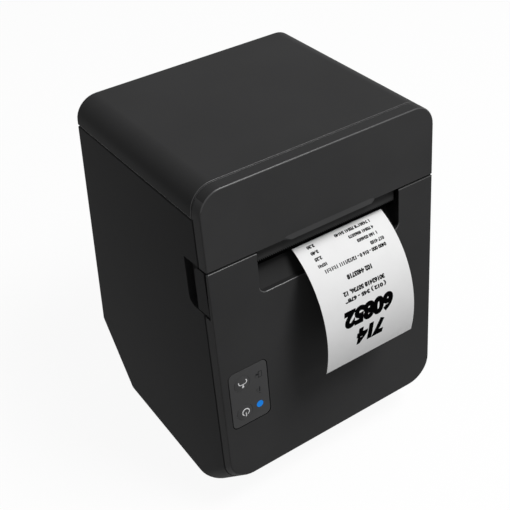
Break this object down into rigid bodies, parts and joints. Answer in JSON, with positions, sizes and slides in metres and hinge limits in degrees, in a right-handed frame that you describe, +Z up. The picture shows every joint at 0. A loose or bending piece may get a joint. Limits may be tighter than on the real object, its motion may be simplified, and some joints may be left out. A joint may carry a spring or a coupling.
{
  "type": "receipt printer",
  "caption": "Upright desktop thermal receipt printer with a hinged top and upper front cover, front paper exit, side release lever, autocutter and a hanging receipt.",
  "frame": {"origin": "on the desk, below the middle of everything that stands out: the housing, the hinge knuckles and the hanging receipt", "axes": "+Z up, the leaning front with the paper exit faces -Y, +X to the right as seen from the front"},
  "size_m": [0.14, 0.1561, 0.2],
  "materials": {
    "cover_plastic": "fine grained black plastic",
    "housing_plastic": "fine grained black plastic",
    "lever_plastic": "fine grained black plastic",
    "base_plastic": "plain black plastic",
    "panel_plastic": "satin grey plastic",
    "button_plastic": "satin grey plastic",
    "blue_lens": "clear blue lens",
    "grey_lens": "unlit grey lens",
    "foot_rubber": "soft black rubber",
    "platen_rubber": "ground black rubber",
    "screw_steel": "zinc plated",
    "plate_steel": "zinc plated sheet",
    "shaft_steel": "ground steel",
    "blade_steel": "hardened steel",
    "tear_steel": "blackened steel strip",
    "heatsink": "extruded",
    "head_ceramic": "glazed ceramic strip",
    "bush_bronze": "sintered bronze",
    "pinion_brass": "cut brass",
    "gear_plastic": "ivory plastic",
    "motor_steel": "plated can",
    "board_green": "solder resist on glass fibre",
    "part_black": "moulded component cases",
    "capacitor": "sleeved cans",
    "socket_metal": "tinned shells",
    "paper": "thermal paper",
    "core_card": "wound card"
  },
  "bodies": {
    "base": {"body_shell": "housing_plastic", "base_plate": "base_plastic", "rubber_feet": "foot_rubber", "base_screws": "screw_steel", "front_panel": "housing_plastic", "exit_chute": "base_plastic", "control_panel": "panel_plastic", "blue_lens": "blue_lens", "status_lenses": "grey_lens", "panel_board": "board_green", "main_board": "board_green", "board_parts": "part_black", "board_capacitors": "capacitor", "port_plate": "plate_steel", "dc_jack": "part_black", "data_ports": "socket_metal", "drawer_port": "part_black", "roll_bin": "base_plastic", "width_guide": "base_plastic", "near_end_sensor": "part_black", "paper_web": "paper", "receipt": "paper", "mech_plate_left": "plate_steel", "mech_plate_right": "plate_steel", "mech_bridge": "plate_steel", "mech_screws": "screw_steel", "paper_guide": "base_plastic", "paper_sensor": "part_black", "cover_switch": "part_black", "platen_bearings": "bush_bronze", "feed_motor": "motor_steel", "blade_guides": "base_plastic", "cutter_motor": "motor_steel", "hinge_pins": "shaft_steel"},
    "platen": {"platen_roller": "platen_rubber", "platen_shaft": "shaft_steel", "platen_gear": "gear_plastic"},
    "idler": {"idler_gear": "gear_plastic"},
    "feed_pinion": {"motor_pinion": "pinion_brass"},
    "roll": {"paper_roll": "paper", "roll_core": "core_card"},
    "cutter": {"moving_blade": "blade_steel", "blade_carrier": "base_plastic"},
    "cut_pinion": {"cutter_pinion": "pinion_brass"},
    "lever": {"release_lever": "lever_plastic", "latch_shaft": "shaft_steel", "latch_hooks": "plate_steel", "lever_spring": "shaft_steel"},
    "feed_key": {"feed_button": "button_plastic"},
    "power_key": {"power_button": "button_plastic"},
    "cover": {"top_cover": "cover_plastic", "upper_front_cover": "cover_plastic", "cover_frame": "base_plastic", "latch_bar": "shaft_steel", "thermal_head": "head_ceramic", "head_heatsink": "heatsink", "head_bracket": "plate_steel", "head_springs": "shaft_steel", "fixed_blade": "blade_steel", "tear_bar": "tear_steel"}
  },
  "joints": [
    {"name": "cover_hinge", "type": "hinge", "parent": "base", "child": "cover", "pos_m": [0, 0.07454, 0.17602], "axis": [-1, 0, 0], "range_deg": [0, 85]},
    {"name": "lever_pull", "type": "hinge", "parent": "base", "child": "lever", "pos_m": [0, -0.04446, 0.13608], "axis": [1, 0, 0], "range_deg": [0, 3.5], "stiffness_Nm_per_rad": 0.6, "springref_deg": -2.86},
    {"name": "feed_button_press", "type": "slide", "parent": "base", "child": "feed_key", "axis": [0, 0.9908, -0.1352], "range_m": [0, 0.001], "stiffness_N_per_m": 400, "springref_m": -0.0005},
    {"name": "power_button_press", "type": "slide", "parent": "base", "child": "power_key", "axis": [0, 0.9908, -0.1352], "range_m": [0, 0.001], "stiffness_N_per_m": 400, "springref_m": -0.0005},
    {"name": "platen_spin", "type": "hinge", "parent": "base", "child": "platen", "pos_m": [0, -0.02257, 0.14814], "axis": [1, 0, 0], "continuous": true},
    {"name": "idler_spin", "type": "hinge", "parent": "base", "child": "idler", "pos_m": [0, -0.02257, 0.12574], "axis": [1, 0, 0], "continuous": true},
    {"name": "feed_pinion_spin", "type": "hinge", "parent": "base", "child": "feed_pinion", "pos_m": [0, -0.02777, 0.10976], "axis": [1, 0, 0], "continuous": true},
    {"name": "roll_spin", "type": "hinge", "parent": "base", "child": "roll", "pos_m": [0.01125, 0.02859, 0.13271], "axis": [1, 0, 0], "continuous": true},
    {"name": "cutter_slide", "type": "slide", "parent": "base", "child": "cutter", "axis": [0, -0.342, 0.9397], "range_m": [0, 0.006]},
    {"name": "cut_pinion_spin", "type": "hinge", "parent": "base", "child": "cut_pinion", "pos_m": [-0.034, -0.03198, 0.11843], "axis": [1, 0, 0], "range_deg": [0, 72]}
  ],
  "couplings": [
    {"joint": "idler_spin", "follows": "platen_spin", "ratio": -0.86667},
    {"joint": "feed_pinion_spin", "follows": "platen_spin", "ratio": 2.1667},
    {"joint": "roll_spin", "follows": "platen_spin", "ratio": 0.1579},
    {"joint": "cut_pinion_spin", "follows": "cutter_slide", "rad_per_m": 208.33}
  ]
}
